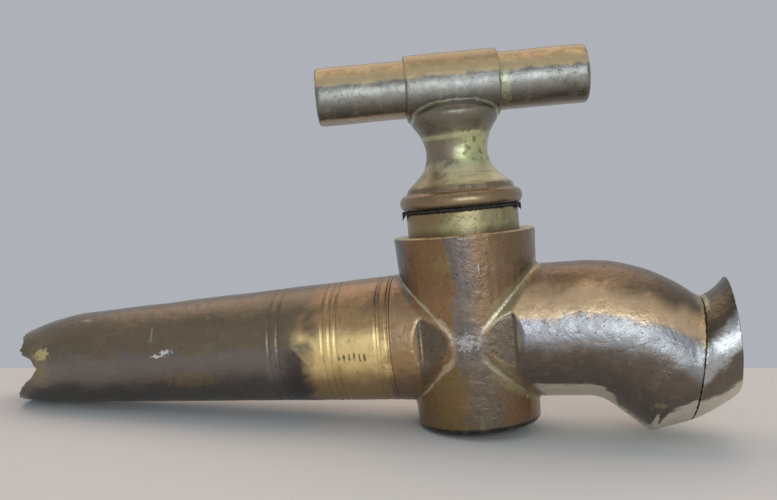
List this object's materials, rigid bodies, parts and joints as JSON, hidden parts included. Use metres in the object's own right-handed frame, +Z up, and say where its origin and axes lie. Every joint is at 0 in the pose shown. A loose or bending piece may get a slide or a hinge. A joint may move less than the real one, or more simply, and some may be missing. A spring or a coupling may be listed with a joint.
{
  "type": "cask tap",
  "caption": "Brass plug-cock cask tap with a tapered tail, a T-bar handle on a turning plug, and a downturned spout with a flared mouth.",
  "frame": {"origin": "where the plug axis crosses the waterway axis, which is the datum of the tail's taper", "axes": "+X along the waterway towards the mouth, +Z up the plug axis towards the handle"},
  "size_m": [0.2553, 0.0466, 0.128],
  "materials": {
    "body_brass": "old patinated cast brass, worn bright by the barrel",
    "nose_brass": "olive patinated brass with a worn lip",
    "plug_brass": "olive brass with pale green deposit",
    "handle_brass": "handled brass with green deposit in the hollows",
    "bar_brass": "brass worn smooth by the hand",
    "pin_brass": "dressed flush, dull",
    "leather": "dark, swollen and ragged"
  },
  "bodies": {
    "body": {"cock_body": "body_brass", "spout_nose": "nose_brass"},
    "key": {"plug": "plug_brass", "leather_washer": "leather", "stem_head": "handle_brass", "cross_bar": "bar_brass", "head_pin": "pin_brass", "bar_pin": "pin_brass", "bottom_washer": "plug_brass", "bottom_nut": "plug_brass"}
  },
  "joints": [
    {"name": "plug_turn", "type": "hinge", "parent": "body", "child": "key", "pos_m": [0, 0, 0], "axis": [0, 0, 1], "continuous": true}
  ]
}
